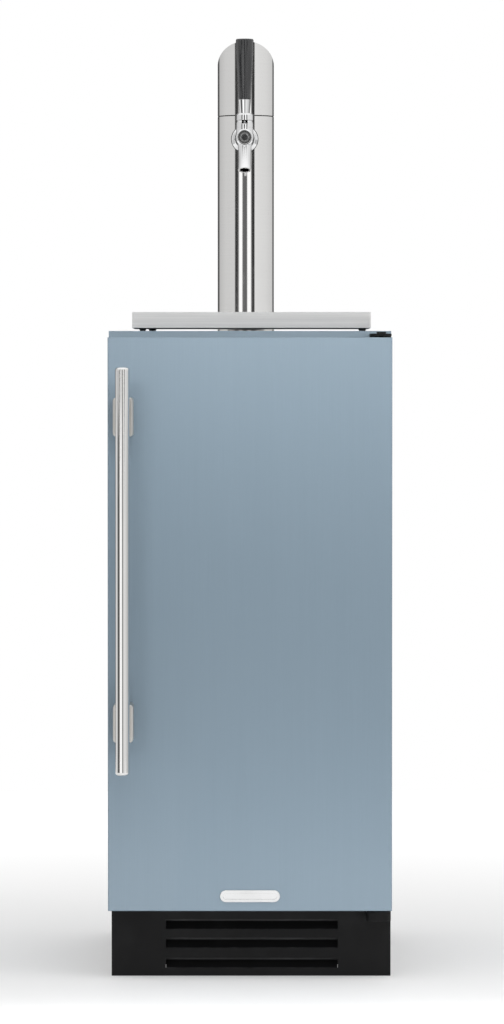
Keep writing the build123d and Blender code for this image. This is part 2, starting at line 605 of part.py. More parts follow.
# Keg coupler resting in its wall bracket.
COUPLER = (95.0, 150.0)
SHELF_Z = 516.0
with BuildPart() as coupler:
    upright(*COUPLER, (SHELF_Z + 4, SHELF_Z + 16), 30)
    upright(*COUPLER, (SHELF_Z - 14, SHELF_Z + 60), 18)
    upright(*COUPLER, (SHELF_Z + 60, SHELF_Z + 84), 9)
    with BuildSketch(Plane.XY.offset(SHELF_Z + 62)):
        with Locations(COUPLER):
            RegularPolygon(14, 6)
    extrude(amount=14)
    across((COUPLER[0] - 36, COUPLER[0]), COUPLER[1], SHELF_Z + 34, 5)
    across((COUPLER[0] - 26, COUPLER[0] + 26), COUPLER[1], SHELF_Z + 48, 4)
save(coupler, "keg_coupler")
with BuildPart() as coupler_lever:
    for side in (-1, 1):
        x = COUPLER[0] + side * 22.5
        block((x - 1.5, x + 1.5), (COUPLER[1] - 78, COUPLER[1] + 8),
              (SHELF_Z + 42, SHELF_Z + 54))
    block((COUPLER[0] - 24, COUPLER[0] + 24), (COUPLER[1] - 84, COUPLER[1] - 70),
          (SHELF_Z + 42, SHELF_Z + 54))
    fillet(coupler_lever.edges().filter_by(Axis.X).group_by(Axis.Y)[0], 4)
    across((COUPLER[0] - 30, COUPLER[0] + 30), COUPLER[1], SHELF_Z + 48, 4 + RUN,
           mode=Mode.SUBTRACT)
save(coupler_lever, "coupler_lever")

with BuildPart() as brackets:
    block((COUPLER[0] - 34, BAY_HALF - 0.2), (COUPLER[1] - 34, COUPLER[1] + 34),
          (SHELF_Z, SHELF_Z + 3.9))
    upright(*COUPLER, (SHELF_Z - 1, SHELF_Z + 5), 18.6, mode=Mode.SUBTRACT)
    block((BAY_HALF - 2.2, BAY_HALF - 0.2), (COUPLER[1] - 34, COUPLER[1] + 34),
          (SHELF_Z - 40, SHELF_Z + 3.9))
    upright(*GAS, (560, 590), GAS_R + 2.6)
    upright(*GAS, (559, 591), GAS_R + 0.4, mode=Mode.SUBTRACT)
    block((-BAY_HALF + 0.2, GAS[0] - GAS_R - 1.5), (GAS[1] - 16, GAS[1] + 16), (560, 590))
save(brackets, "wall_brackets")

# ---------------------------------------------------------------- beer tower
with BuildPart() as tower:
    upright(TOWER_X, TOWER_Y, (TOP + 0.1, CAP_JOINT - CAP_GAP), TOWER_R)
    upright(TOWER_X, TOWER_Y, (TOP - 1, CAP_JOINT + 1), TOWER_R - TOWER_WALL, mode=Mode.SUBTRACT)
    with BuildSketch(Plane.XY.offset(TOP + 0.1)):
        with Locations((TOWER_X, TOWER_Y)):
            Circle(TOWER_R - 0.5)
            Circle(TOWER_HOLE_R - 8, mode=Mode.SUBTRACT)
            with PolarLocations(TOWER_BOLT_PCD / 2, 4, start_angle=45):
                Circle(BOLT_R + 0.2, mode=Mode.SUBTRACT)
    extrude(amount=4)
    forward(TAP_X, (tower_front - 5, tower_front + 12), SHANK_Z, SHANK_R + 0.3,
            mode=Mode.SUBTRACT)
save(tower, "tower_column")

with BuildPart() as tower_bolts:
    with Locations((TOWER_X, TOWER_Y, 0)):
        with PolarLocations(TOWER_BOLT_PCD / 2, 4, start_angle=45):
            with Locations((0, 0, TOP + 1.8)):
                Cylinder(BOLT_R, 6)
            with Locations((0, 0, TOP + 5.6)):
                Cylinder(BOLT_R + 2, 3)
save(tower_bolts, "tower_bolts")

cut_plane = Plane(origin=(TOWER_X, TOWER_Y, TOWER_SIDE_TOP), x_dir=(1, 0, 0),
                  z_dir=(0, sin(radians(TOWER_SLOPE)), cos(radians(TOWER_SLOPE))))
cap_tip = TOWER_SIDE_TOP + TOWER_R * tan(radians(TOWER_SLOPE)) + 5
with BuildPart() as tower_cap:
    upright(TOWER_X, TOWER_Y, (CAP_JOINT, cap_tip), TOWER_R)
    split(bisect_by=cut_plane, keep=Keep.BOTTOM)
    with BuildPart(mode=Mode.PRIVATE) as cap_hollow:
        upright(TOWER_X, TOWER_Y, (CAP_JOINT - 1, cap_tip), TOWER_R - TOWER_WALL)
        split(bisect_by=cut_plane.offset(-TOWER_WALL), keep=Keep.BOTTOM)
    add(cap_hollow.part, mode=Mode.SUBTRACT)
    upright(TOWER_X, TOWER_Y, (CAP_JOINT - 12, CAP_JOINT + 4), TOWER_R - TOWER_WALL - 0.4)
    upright(TOWER_X, TOWER_Y, (CAP_JOINT + 0.5, CAP_JOINT + 4), TOWER_R - 0.5)
    upright(TOWER_X, TOWER_Y, (CAP_JOINT - 13, CAP_JOINT + 5), TOWER_R - 2 * TOWER_WALL,
            mode=Mode.SUBTRACT)
save(tower_cap, "tower_cap")

# ---------------------------------------------------------------- faucet
BODY_Y = -72.0                       # lever and spout line
NUT_Y = (-50.0, -38.2)
PIVOT_Z = 1150.0
NECK_TOP = 1146.0
BONNET_R = 11.6
BALL_R = 6.2
NOSE_Y, NOSE_R = -95.0, 8.6
SOCKET_R, SOCKET_DEEP = 5.6, 2.5     # hexagon in the nose
BORE_R = 7.3
MOUTH_R = 9.2
COLLAR_R = 18.0
NUT_R = 15.5
with BuildPart() as shank:
    forward(TAP_X, (NUT_Y[0], 8), SHANK_Z, SHANK_R - 0.1)
    forward(TAP_X, (NUT_Y[0] - 1, 20), SHANK_Z, 4, mode=Mode.SUBTRACT)
    forward(TAP_X, (NUT_Y[0] - 1, -32), SHANK_Z, 6, mode=Mode.SUBTRACT)
    with BuildSketch(Plane.XZ.offset(13)):
        with Locations((TAP_X, SHANK_Z)):
            RegularPolygon(NUT_R, 6)
            Circle(SHANK_R - 0.2, mode=Mode.SUBTRACT)
    extrude(amount=-8)
save(shank, "faucet_shank")

with BuildPart() as collar:
    forward(TAP_X, (NUT_Y[1] + 0.1, -18), SHANK_Z, COLLAR_R)
    chamfer(collar.edges().group_by(Axis.Y)[0], 3)
    forward(TAP_X, (-60, 0), SHANK_Z, SHANK_R + 0.05, mode=Mode.SUBTRACT)
    upright(TOWER_X, TOWER_Y, (SHANK_Z - 30, SHANK_Z + 30), TOWER_R + 0.1, mode=Mode.SUBTRACT)
save(collar, "shank_collar")

with BuildPart() as coupling_nut:
    forward(TAP_X, NUT_Y, SHANK_Z, NUT_R)
    fillet(coupling_nut.edges().filter_by(GeomType.CIRCLE), 2)
    forward(TAP_X, (-60, 0), SHANK_Z, SHANK_R + 0.05, mode=Mode.SUBTRACT)
    for angle in range(0, 360, 60):
        with Locations(Location((TAP_X + (NUT_R - 1) * cos(radians(angle)), sum(NUT_Y) / 2,
                                 SHANK_Z + (NUT_R - 1) * sin(radians(angle))),
                                (0, 90 - angle, 0))):
            Cylinder(2.2, 4, mode=Mode.SUBTRACT)
save(coupling_nut, "coupling_nut")

SPOUT_TILT = 20.0
SPOUT_LONG = 48.5
spout_dir = (0, -sin(radians(SPOUT_TILT)), -cos(radians(SPOUT_TILT)))
spout_plane = Plane(origin=(TAP_X, BODY_Y, SHANK_Z + 1), x_dir=(1, 0, 0), z_dir=spout_dir)
with BuildPart() as faucet_body:
    forward(TAP_X, (-86, NUT_Y[0] - 0.1), SHANK_Z, 12)
    fillet(faucet_body.edges().group_by(Axis.Y)[0], 2.4)
    forward(TAP_X, (NOSE_Y, -84), SHANK_Z, NOSE_R)
    chamfer(faucet_body.edges().group_by(Axis.Y)[0], 0.8)
    with BuildSketch(Plane.XZ.offset(-NOSE_Y)):
        with Locations((TAP_X, SHANK_Z)):
            RegularPolygon(SOCKET_R, 6)
    extrude(amount=-SOCKET_DEEP, mode=Mode.SUBTRACT)
    upright(TAP_X, BODY_Y, (SHANK_Z, NECK_TOP), 11.7)
    with BuildSketch(spout_plane):
        Circle(11.5)
    with BuildSketch(spout_plane.offset(SPOUT_LONG * 0.5)):
        Circle(8.4)
    with BuildSketch(spout_plane.offset(SPOUT_LONG)):
        Circle(MOUTH_R)
    loft()
    forward(TAP_X, (-88, -40), SHANK_Z, BORE_R, mode=Mode.SUBTRACT)
    upright(TAP_X, BODY_Y, (SHANK_Z, NECK_TOP + 1), 7.1, mode=Mode.SUBTRACT)
    with BuildSketch(spout_plane):
        Circle(6.8)
    extrude(amount=SPOUT_LONG + 1, mode=Mode.SUBTRACT)
save(faucet_body, "faucet_body")

with BuildPart() as bonnet:
    with Locations((TAP_X, BODY_Y, PIVOT_Z)):
        Sphere(BONNET_R)
    upright(TAP_X, BODY_Y, (NECK_TOP + 0.1, PIVOT_Z), BONNET_R)
    block((TAP_X - 20, TAP_X + 20), (BODY_Y - 20, BODY_Y + 20),
          (PIVOT_Z - 20, NECK_TOP + 0.1), mode=Mode.SUBTRACT)
    with Locations((TAP_X, BODY_Y, PIVOT_Z)):
        Sphere(BALL_R + RUN, mode=Mode.SUBTRACT)
    block((TAP_X - 4, TAP_X + 4), (BODY_Y - 14, BODY_Y + 4), (PIVOT_Z, PIVOT_Z + 20),
          mode=Mode.SUBTRACT)
    upright(TAP_X, BODY_Y, (NECK_TOP - 1, PIVOT_Z), BORE_R, mode=Mode.SUBTRACT)
save(bonnet, "faucet_bonnet")

# Lever: tip, pivot ball, stem, collar and ferrule in one turning.
HANDLE_LOW, HANDLE_HIGH = 1184.1, 1266.7
HANDLE_TOP_R = 12.1
LEVER_TIP_R = 1.75
LEVER_COLLAR_R = 11.4
LEVER_COLLAR_Z = (PIVOT_Z + 6, PIVOT_Z + 15.3)
with BuildPart() as lever:
    upright(TAP_X, BODY_Y, (SHANK_Z + 1, PIVOT_Z), LEVER_TIP_R)
    upright(TAP_X, BODY_Y, (PIVOT_Z, PIVOT_Z + 20), 3.0)
    with Locations((TAP_X, BODY_Y, SHANK_Z + 0.6)):
        Sphere(2.7)
    with Locations((TAP_X, BODY_Y, PIVOT_Z)):
        Sphere(BALL_R)
    with BuildPart(mode=Mode.PRIVATE) as lever_collar:
        upright(TAP_X, BODY_Y, LEVER_COLLAR_Z, LEVER_COLLAR_R)
        with Locations((TAP_X, BODY_Y, PIVOT_Z)):
            Sphere(BONNET_R + 0.3, mode=Mode.SUBTRACT)
        fillet(lever_collar.edges().group_by(Axis.Z)[-1], 3)
    add(lever_collar.part)
    with BuildSketch(Plane.XY.offset(LEVER_COLLAR_Z[1] - 0.5)):
        with Locations((TAP_X, BODY_Y)):
            Circle(7)
    with BuildSketch(Plane.XY.offset(HANDLE_LOW - 0.1)):
        with Locations((TAP_X, BODY_Y)):
            Circle(8.6)
    loft()
    upright(TAP_X, BODY_Y, (HANDLE_LOW - 0.2, HANDLE_LOW + 16), 4)
save(lever, "faucet_lever")

with BuildPart() as plunger:
    forward(TAP_X, (BODY_Y - 9, BODY_Y + 8), SHANK_Z, 6.9)
    block((TAP_X - 3.6, TAP_X + 3.6), (BODY_Y - 5.4, BODY_Y + 3.4), (SHANK_Z - 4, SHANK_Z + 8),
          mode=Mode.SUBTRACT)
    forward(TAP_X, (BODY_Y + 8, -50), SHANK_Z, 2.5)
    forward(TAP_X, (-52.5, -50), SHANK_Z, 5.4)
save(plunger, "faucet_plunger")

with BuildPart() as tap_handle:
    with BuildSketch(Plane((TAP_X, BODY_Y, 0), x_dir=(1, 0, 0), z_dir=(0, -1, 0))):
        with BuildLine():
            Polyline((0, HANDLE_LOW), (8.2, HANDLE_LOW), (8.6, HANDLE_LOW + 2))
            Spline((8.6, HANDLE_LOW + 2), (9.4, HANDLE_LOW + 24), (10.8, HANDLE_LOW + 47),
                   (HANDLE_TOP_R, HANDLE_HIGH - 1.8))
            ThreePointArc((HANDLE_TOP_R, HANDLE_HIGH - 1.8), (11.6, HANDLE_HIGH - 0.6),
                          (10.2, HANDLE_HIGH))
            Polyline((10.2, HANDLE_HIGH), (0, HANDLE_HIGH), (0, HANDLE_LOW))
        make_face()
    revolve(axis=Axis((TAP_X, BODY_Y, 0), (0, 0, 1)))
    upright(TAP_X, BODY_Y, (HANDLE_LOW - 1, HANDLE_LOW + 17), 4.05, mode=Mode.SUBTRACT)
save(tap_handle, "tap_handle")

# ---------------------------------------------------------------- hoses
HOSE_R = 5.0
coupler_top = SHELF_Z + 84
beer_line = tube_along(
    [(TAP_X, 8.2, SHANK_Z), (TAP_X, 29, SHANK_Z), (TAP_X, 29, 780), (60, 80, 715),
     (95, 150, 690), (*COUPLER, coupler_top + 0.1)],
    [18, 40, 45, 30], HOSE_R, HOSE_R - 2)
save(beer_line, "beer_line")
gas_line = tube_along(
    [(REG_X, GAS[1], 671.9), (REG_X, GAS[1], 600), (22, 150, SHELF_Z + 34),
     (COUPLER[0] - 36.1, COUPLER[1], SHELF_Z + 34)],
    [40, 16], HOSE_R - 0.5, HOSE_R - 2.5)
save(gas_line, "gas_line")

# ---------------------------------------------------------------- drip tray
TRAY_X = (-158.0, 162.0)
TRAY_Y = (-205.0, -30.0)
TRAY_Z = (871.2, 892.5)
TRAY_WALL = 1.2
with BuildPart() as drip_tray:
    block(TRAY_X, TRAY_Y, TRAY_Z)
    fillet(drip_tray.edges().filter_by(Axis.Z), 2)
    block((TRAY_X[0] + TRAY_WALL, TRAY_X[1] - TRAY_WALL),
          (TRAY_Y[0] + TRAY_WALL, TRAY_Y[1] - TRAY_WALL),
          (TRAY_Z[0] + TRAY_WALL, TRAY_Z[1] + 1), mode=Mode.SUBTRACT)
    for x in (TRAY_X[0] + 1, TRAY_X[1] - 6):
        block((x, x + 5), (TRAY_Y[0] + 0.6, TRAY_Y[1] - 0.6), (TRAY_Z[1] - 6.5, TRAY_Z[1] - 5.3))
save(drip_tray, "drip_tray")

GRILLE_Z = (TRAY_Z[1] - 5.2, TRAY_Z[1] - 3.7)
with BuildPart() as drip_grille:
    block((TRAY_X[0] + 2, TRAY_X[1] - 2), (TRAY_Y[0] + 2, TRAY_Y[1] - 2), GRILLE_Z)
    fillet(drip_grille.edges().filter_by(Axis.Z), 2)
    with BuildSketch(Plane.XY.offset(GRILLE_Z[1])):
        with Locations(((TRAY_X[0] + TRAY_X[1]) / 2, (TRAY_Y[0] + TRAY_Y[1]) / 2)):
            with GridLocations(16, 40, 18, 4):
                SlotOverall(32, 6, rotation=90)
    extrude(amount=-3, mode=Mode.SUBTRACT)
save(drip_grille, "drip_grille")

TRAY_FEET = ((-144.0, -190.0), (151.0, -190.0), (-133.7, -46.0), (154.0, -46.0))
with BuildPart() as tray_feet:
    for x, y in TRAY_FEET:
        with BuildSketch(Plane.XY.offset(TRAY_Z[0])):
            with Locations((x, y)):
                Circle(5.4)
        with BuildSketch(Plane.XY.offset(TOP + 0.05)):
            with Locations((x, y)):
                Circle(3.6)
        loft()
save(tray_feet, "tray_feet")
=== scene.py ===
from math import cos, pi, radians, sin

import bmesh
import bpy
from mathutils import Matrix, Vector


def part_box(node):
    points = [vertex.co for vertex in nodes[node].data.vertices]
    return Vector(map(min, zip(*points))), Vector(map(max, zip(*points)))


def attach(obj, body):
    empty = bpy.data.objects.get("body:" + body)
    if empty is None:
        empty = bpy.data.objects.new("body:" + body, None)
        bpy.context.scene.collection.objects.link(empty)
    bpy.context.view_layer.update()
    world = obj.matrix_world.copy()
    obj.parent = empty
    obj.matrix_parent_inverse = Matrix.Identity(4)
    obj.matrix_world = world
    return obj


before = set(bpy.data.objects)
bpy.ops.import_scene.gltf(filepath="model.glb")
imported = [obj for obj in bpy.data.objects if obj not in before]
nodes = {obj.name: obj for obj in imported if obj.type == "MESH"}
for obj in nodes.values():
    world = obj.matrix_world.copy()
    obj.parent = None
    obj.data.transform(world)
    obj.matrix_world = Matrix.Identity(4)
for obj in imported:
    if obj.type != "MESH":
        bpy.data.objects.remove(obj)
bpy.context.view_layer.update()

scene = bpy.context.scene

# ------------------------------------------------------------------ camera
DOOR_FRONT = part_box("door_skin")[0][1]
AWAY = 6.6                              # metres from the eye to the door's plane
EYE = Vector((0.0, DOOR_FRONT - AWAY, 0.800))
AIM = Vector((0.0027, DOOR_FRONT, 0.6262))
FIELD_HIGH = 1.3595                     # metres of the door's plane that the picture's height takes
SENSOR = 24.0

camera_data = bpy.data.cameras.new("camera")
camera_data.sensor_fit = "VERTICAL"
camera_data.sensor_height = SENSOR
camera_data.lens = SENSOR * (AIM - EYE).length / FIELD_HIGH
camera_data.clip_end = 60
camera = bpy.data.objects.new("camera", camera_data)
camera.location = EYE
camera.rotation_euler = (AIM - EYE).to_track_quat("-Z", "Y").to_euler()
scene.collection.objects.link(camera)
scene.camera = camera


# ------------------------------------------------------------------ node helpers
class Surface:
    """A Principled material whose colour, roughness and relief come from object-space noise."""

    def __init__(self, name, color, rough, metallic=0.0, **constants):
        self.material = bpy.data.materials.new(name)
        self.material.use_nodes = True
        self.tree = self.material.node_tree
        self.shader = self.tree.nodes["Principled BSDF"]
        self.shader.inputs["Base Color"].default_value = (*color, 1)
        self.shader.inputs["Roughness"].default_value = rough
        self.shader.inputs["Metallic"].default_value = metallic
        for socket, value in constants.items():
            self.shader.inputs[socket.replace("_", " ")].default_value = value
        self.color = self.rgb(color)
        self.rough = self.value(rough)
        self.normal = None
        self.where = self.add("ShaderNodeTexCoord").outputs["Object"]

    def add(self, kind, **settings):
        node = self.tree.nodes.new(kind)
        for key, value in settings.items():
            setattr(node, key, value)
        return node

    def join(self, source, target):
        self.tree.links.new(source, target)

    def rgb(self, color):
        node = self.add("ShaderNodeRGB")
        node.outputs[0].default_value = (*color, 1)
        return node.outputs[0]

    def value(self, number):
        node = self.add("ShaderNodeValue")
        node.outputs[0].default_value = number
        return node.outputs[0]

    def noise(self, scale, stretch=(1, 1, 1), detail=3.0, low=0.35, high=0.65):
        """Noise in metres, spread so that low..high becomes 0..1."""
        mapping = self.add("ShaderNodeMapping")
        mapping.inputs["Scale"].default_value = stretch
        self.join(self.where, mapping.inputs["Vector"])
        noise = self.add("ShaderNodeTexNoise")
        noise.inputs["Scale"].default_value = scale
        noise.inputs["Detail"].default_value = detail
        self.join(mapping.outputs[0], noise.inputs["Vector"])
        return self.spread(noise.outputs["Fac"], low, high)

    def spread(self, source, low, high, to_low=0.0, to_high=1.0):
        node = self.add("ShaderNodeMapRange")
        node.inputs["From Min"].default_value = low
        node.inputs["From Max"].default_value = high
        node.inputs["To Min"].default_value = to_low
        node.inputs["To Max"].default_value = to_high
        self.join(source, node.inputs["Value"])
        return node.outputs["Result"]

    def cells(self, scale):
        cells = self.add("ShaderNodeTexVoronoi")
        cells.inputs["Scale"].default_value = scale
        self.join(self.where, cells.inputs["Vector"])
        return cells

    def edges(self, radius, low=0.004, high=0.06):
        """A mask that is 1 along convex and concave edges."""
        bevel = self.add("ShaderNodeBevel", samples=4)
        bevel.inputs["Radius"].default_value = radius
        flat = self.add("ShaderNodeNewGeometry")
        dot = self.add("ShaderNodeVectorMath", operation="DOT_PRODUCT")
        self.join(bevel.outputs[0], dot.inputs[0])
        self.join(flat.outputs["Normal"], dot.inputs[1])
        return self.spread(dot.outputs["Value"], 1 - low, 1 - high)

    def times(self, a, b):
        node = self.add("ShaderNodeMath", operation="MULTIPLY", use_clamp=True)
        self.join(a, node.inputs[0])
        if isinstance(b, float):
            node.inputs[1].default_value = b
        else:
            self.join(b, node.inputs[1])
        return node.outputs[0]

    def paint(self, mask, color, amount=1.0):
        """Mixes a colour over the base where the mask is."""
        mix = self.add("ShaderNodeMix", data_type="RGBA")
        self.join(self.times(mask, float(amount)), mix.inputs["Factor"])
        self.join(self.color, mix.inputs["A"])
        mix.inputs["B"].default_value = (*color, 1)
        self.color = mix.outputs["Result"]
        return self

    def roughen(self, mask, amount):
        """Adds amount times the mask to the roughness."""
        node = self.add("ShaderNodeMath", operation="MULTIPLY_ADD", use_clamp=True)
        self.join(mask, node.inputs[0])
        node.inputs[1].default_value = amount
        self.join(self.rough, node.inputs[2])
        self.rough = node.outputs[0]
        return self

    def soften(self, radius):
        """Rounds the look of sharp edges."""
        bevel = self.add("ShaderNodeBevel", samples=4)
        bevel.inputs["Radius"].default_value = radius
        if self.normal is not None:
            self.join(self.normal, bevel.inputs["Normal"])
        self.normal = bevel.outputs[0]
        return self

    def relief(self, height, depth, strength=1.0):
        """Bumps the surface by depth metres over the height's 0..1."""
        bump = self.add("ShaderNodeBump")
        bump.inputs["Strength"].default_value = strength
        bump.inputs["Distance"].default_value = depth
        self.join(height, bump.inputs["Height"])
        if self.normal is not None:
            self.join(self.normal, bump.inputs["Normal"])
        self.normal = bump.outputs[0]
        return self

    def done(self):
        self.join(self.color, self.shader.inputs["Base Color"])
        self.join(self.rough, self.shader.inputs["Roughness"])
        if self.normal is not None:
            self.join(self.normal, self.shader.inputs["Normal"])
        return self.material


# ------------------------------------------------------------------ materials
def satin_blue(name, grain):
    s = Surface(name, (0.142, 0.191, 0.233), 0.40, Coat_Weight=0.1, Coat_Roughness=0.3)
    s.soften(0.0009)
    fine = s.noise(1.0, (1500, 1500, 14), detail=4)
    broad = s.noise(1.0, (110, 110, 2.2), detail=3)
    s.paint(fine, (0.160, 0.213, 0.258), 0.40 * grain)
    s.paint(broad, (0.134, 0.181, 0.221), 0.25 * grain)
    cloud = s.noise(5.0, detail=2)
    s.paint(cloud, (0.150, 0.199, 0.241), 0.3)
    s.roughen(fine, 0.07 * grain).roughen(s.noise(9.0, detail=5), 0.05)
    s.relief(fine, 0.00002 * grain + 0.000002)
    s.relief(s.noise(900.0, detail=2), 0.000008)
    s.paint(s.times(s.edges(0.0012), s.noise(60.0)), (0.21, 0.27, 0.32), 0.5)
    return s.done()


def brushed(name, stretch, color, rough):
    """Stainless sheet with hair lines along the small number of stretch."""
    s = Surface(name, color, rough, 1.0)
    s.soften(0.0006)
    line = s.noise(1.0, stretch, detail=5)
    long_line = s.noise(1.0, tuple(v * 0.16 for v in stretch), detail=3)
    s.paint(line, tuple(v * 1.16 for v in color), 0.6)
    s.paint(long_line, tuple(v * 0.84 for v in color), 0.4)
    s.roughen(line, 0.10).roughen(s.noise(14.0, detail=4), 0.06)
    s.relief(line, 0.00001)
    # Painted highlight: lighter along the edges.
    s.paint(s.edges(0.0012), tuple(min(v * 1.3, 0.95) for v in color), 0.5)
    return s.done()


def polished_steel(name, stretch, rough):
    s = Surface(name, (0.80, 0.795, 0.785), rough, 1.0)
    s.soften(0.0003)
    line = s.noise(1.0, stretch, detail=5)
    s.paint(line, (0.76, 0.755, 0.745), 0.5)
    s.roughen(line, 0.02).roughen(s.noise(26.0, detail=6, low=0.48, high=0.7), 0.04)
    s.relief(line, 0.0000002)
    return s.done()


def chrome(name, rough=0.035):
    s = Surface(name, (0.86, 0.865, 0.87), rough, 1.0)
    s.soften(0.0005)
    s.roughen(s.noise(45.0, detail=6, low=0.46, high=0.7), 0.06)
    s.paint(s.noise(30.0), (0.80, 0.80, 0.80), 0.5)
    # Painted shade: the edges are darkened, standing in for dark reflections in the chrome.
    s.paint(s.edges(0.0006, 0.1, 0.5), (0.55, 0.54, 0.52), 0.35)
    return s.done()


def black_powder(name):
    s = Surface(name, (0.004, 0.004, 0.0042), 0.5, Specular_IOR_Level=0.18)
    s.soften(0.0006)
    peel = s.noise(700.0, detail=3)
    s.relief(peel, 0.00003)
    s.roughen(s.noise(18.0, detail=5), 0.10)
    s.paint(s.noise(22.0, detail=5, low=0.52, high=0.75), (0.012, 0.012, 0.0125), 0.4)
    s.paint(s.times(s.edges(0.0009), s.noise(90.0)), (0.05, 0.05, 0.052), 0.6)
    return s.done()


def moulded(name, color, light, rough=0.5, grain=0.00004):
    """Injection-moulded plastic with a fine texture and scuffed edges."""
    s = Surface(name, color, rough)
    s.soften(0.0004)
    pits = s.cells(1400.0).outputs["Distance"]
    s.relief(s.spread(pits, 0.0, 0.8), grain)
    s.roughen(s.noise(20.0, detail=4), 0.12)
    s.paint(s.noise(30.0, detail=4, low=0.5, high=0.75), light, 0.25)
    s.paint(s.times(s.edges(0.0006), s.noise(120.0)), light, 0.6)
    return s.done()


def gloss_phenolic(name):
    s = Surface(name, (0.012, 0.0122, 0.013), 0.13, Coat_Weight=0.6, Coat_Roughness=0.08)
    s.soften(0.0005)
    swirl = s.noise(1.0, (260, 260, 30), detail=6)
    s.paint(swirl, (0.022, 0.0225, 0.024), 0.5)
    s.roughen(s.noise(60.0, detail=6), 0.08)
    s.relief(s.noise(240.0, detail=3), 0.000015)
    # Painted highlight: the edges are lighter.
    s.paint(s.edges(0.0008), (0.07, 0.07, 0.072), 0.3)
    return s.done()


def rubber(name, color, dust):
    s = Surface(name, color, 0.72)
    s.soften(0.0004)
    s.relief(s.noise(1200.0, detail=2), 0.00004)
    s.paint(s.noise(40.0, detail=6, low=0.5, high=0.75), dust, 0.4)
    s.roughen(s.noise(70.0), 0.12)
    return s.done()


def liner_white(name):
    s = Surface(name, (0.72, 0.73, 0.73), 0.34, Coat_Weight=0.1, Coat_Roughness=0.3)
    s.soften(0.002)
    s.relief(s.noise(420.0, detail=2), 0.00007)
    s.relief(s.noise(8.0, detail=2), 0.0008, 0.3)
    s.paint(s.noise(7.0, detail=3), (0.66, 0.67, 0.665), 0.5)
    # Painted shade: darker along the edges and into the corners.
    s.paint(s.edges(0.004), (0.58, 0.59, 0.58), 0.35)
    s.roughen(s.noise(24.0, detail=5), 0.12)
    return s.done()


def foam(name):
    s = Surface(name, (0.78, 0.66, 0.38), 0.9, Subsurface_Weight=0.1)
    bubbles = s.cells(650.0).outputs["Distance"]
    s.relief(s.spread(bubbles, 0.0, 0.7), 0.0003)
    s.relief(s.noise(30.0, detail=5), 0.001)
    s.paint(s.noise(16.0, detail=5), (0.66, 0.50, 0.24), 0.6)
    return s.done()


def galvanised(name):
    s = Surface(name, (0.58, 0.59, 0.60), 0.34, 1.0)
    s.soften(0.0004)
    spangle = s.cells(70.0)
    tone = s.add("ShaderNodeSeparateXYZ")
    s.join(spangle.outputs["Color"], tone.inputs[0])
    s.paint(tone.outputs[0], (0.40, 0.415, 0.43), 0.55)
    s.roughen(tone.outputs[1], 0.22)
    s.relief(s.noise(300.0, detail=3), 0.00001)
    s.paint(s.noise(9.0, detail=6, low=0.52, high=0.72), (0.46, 0.46, 0.46), 0.5)
    return s.done()


def bare_aluminium(name, stretch):
    s = Surface(name, (0.70, 0.71, 0.72), 0.36, 1.0)
    s.soften(0.0006)
    line = s.noise(1.0, stretch, detail=4)
    s.paint(line, (0.60, 0.61, 0.62), 0.5)
    s.roughen(s.noise(18.0, detail=5), 0.14)
    s.relief(line, 0.00002)
    s.paint(s.noise(12.0, detail=6, low=0.55, high=0.72), (0.50, 0.50, 0.50), 0.35)
    return s.done()


def yellow_metal(name, color, dark):
    """Copper or brass, darkened in patches and along the edges."""
    s = Surface(name, color, 0.26, 1.0)
    s.soften(0.0004)
    s.paint(s.noise(50.0, detail=6, low=0.45, high=0.72), dark, 0.6)
    s.roughen(s.noise(80.0, detail=4), 0.16)
    s.relief(s.noise(500.0, detail=3), 0.00001)
    s.paint(s.edges(0.0008), tuple(v * 0.6 for v in color), 0.3)
    return s.done()


def hose(name, color, weight):
    s = Surface(name, color, 0.22, Transmission_Weight=weight, IOR=1.45)
    s.relief(s.noise(1.0, (300, 300, 30), detail=3), 0.00003)
    s.paint(s.noise(30.0, detail=4), tuple(v * 0.8 for v in color), 0.5)
    s.roughen(s.noise(60.0, detail=4), 0.14)
    return s.done()


def enamel(name):
    s = Surface(name, (0.78, 0.78, 0.76), 0.35)
    s.paint(s.noise(90.0, detail=4), (0.72, 0.72, 0.69), 0.5).roughen(s.noise(60.0), 0.1)
    return s.done()


def clear_face(name, color, rough, scale, smears, **constants):
    """A lens or a dark window, smeared in patches."""
    s = Surface(name, color, rough, **constants)
    s.roughen(s.noise(scale, detail=5, low=0.5, high=0.75), smears)
    return s.done()


def mottled(name, color, rough, grain, shade, amount, **constants):
    """Ink, paint or a lit face, mottled towards a shade by noise of the given grain."""
    s = Surface(name, color, rough, **constants)
    s.paint(s.noise(*grain), shade, amount)
    return s.done()


